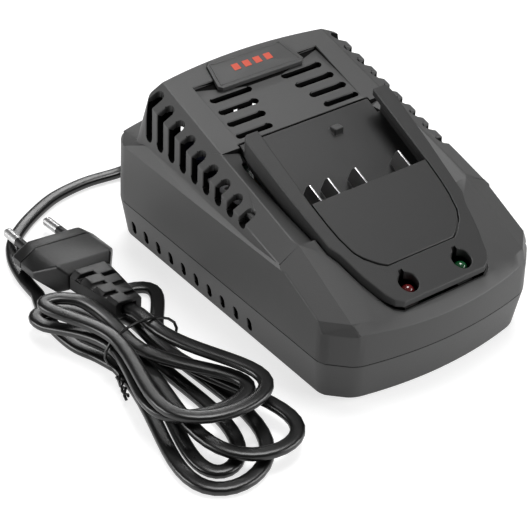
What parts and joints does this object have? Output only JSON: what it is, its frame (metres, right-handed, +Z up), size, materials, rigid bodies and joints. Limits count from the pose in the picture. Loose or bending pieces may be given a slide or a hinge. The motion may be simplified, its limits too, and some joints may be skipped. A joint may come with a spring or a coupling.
{
  "type": "cordless tool battery charger",
  "caption": "Desktop charger for slide-on power tool batteries: vented grey housing with sloped dock, contact blades, indicator lights and a bundled flat mains lead with plug.",
  "frame": {"origin": "under the middle of the housing, on the surface it stands on", "axes": "+X to the right seen from the indicator side, +Y towards the side where the mains lead leaves, +Z up"},
  "size_m": [0.16, 0.1871, 0.0726],
  "materials": {
    "housing_plastic": "fine spark texture, dark grey",
    "dock_plastic": "fine texture, darker grey",
    "plate_plastic": "smooth satin grey",
    "contact_brass": "stamped, tin flashed",
    "black_plastic": "black",
    "led_red_lens": "tinted epoxy",
    "led_green_lens": "tinted epoxy",
    "board_laminate": "green laminate",
    "core_ferrite": "laminated core",
    "copper_wire": "enamelled copper",
    "capacitor_sleeve": "shrink sleeve",
    "heat_sink_metal": "extruded",
    "ceramic": "white ceramic body",
    "lead_wire": "insulated wires",
    "screw_steel": "zinc plated",
    "foot_rubber": "soft black rubber",
    "cord_rubber": "flat black lead, soft sheen",
    "plug_plastic": "black moulded plug",
    "pin_metal": "nickel plated pins"
  },
  "bodies": {
    "root": {"lower_shell": "housing_plastic", "upper_housing": "housing_plastic", "dock_cradle": "dock_plastic", "contact_cover": "dock_plastic", "name_plate": "plate_plastic", "contact_blades": "contact_brass", "terminal_block": "black_plastic", "led_red": "led_red_lens", "led_green": "led_green_lens", "led_holders": "black_plastic", "main_board": "board_laminate", "transformer_core": "core_ferrite", "transformer_winding": "copper_wire", "mains_capacitor": "capacitor_sleeve", "output_capacitors": "capacitor_sleeve", "heat_sink": "heat_sink_metal", "power_transistor": "black_plastic", "line_choke": "copper_wire", "fuse": "ceramic", "bridge_rectifier": "black_plastic", "control_chip": "black_plastic", "mains_leads": "lead_wire", "housing_screws": "screw_steel", "rubber_feet": "foot_rubber", "cord_boot": "cord_rubber", "cord_clamp": "black_plastic", "cord_run": "cord_rubber", "cord_hank": "cord_rubber", "twist_tie": "cord_rubber", "plug_body": "plug_plastic", "plug_relief": "plug_plastic", "plug_pins": "pin_metal", "pin_sleeves": "plug_plastic"}
  },
  "joints": []
}
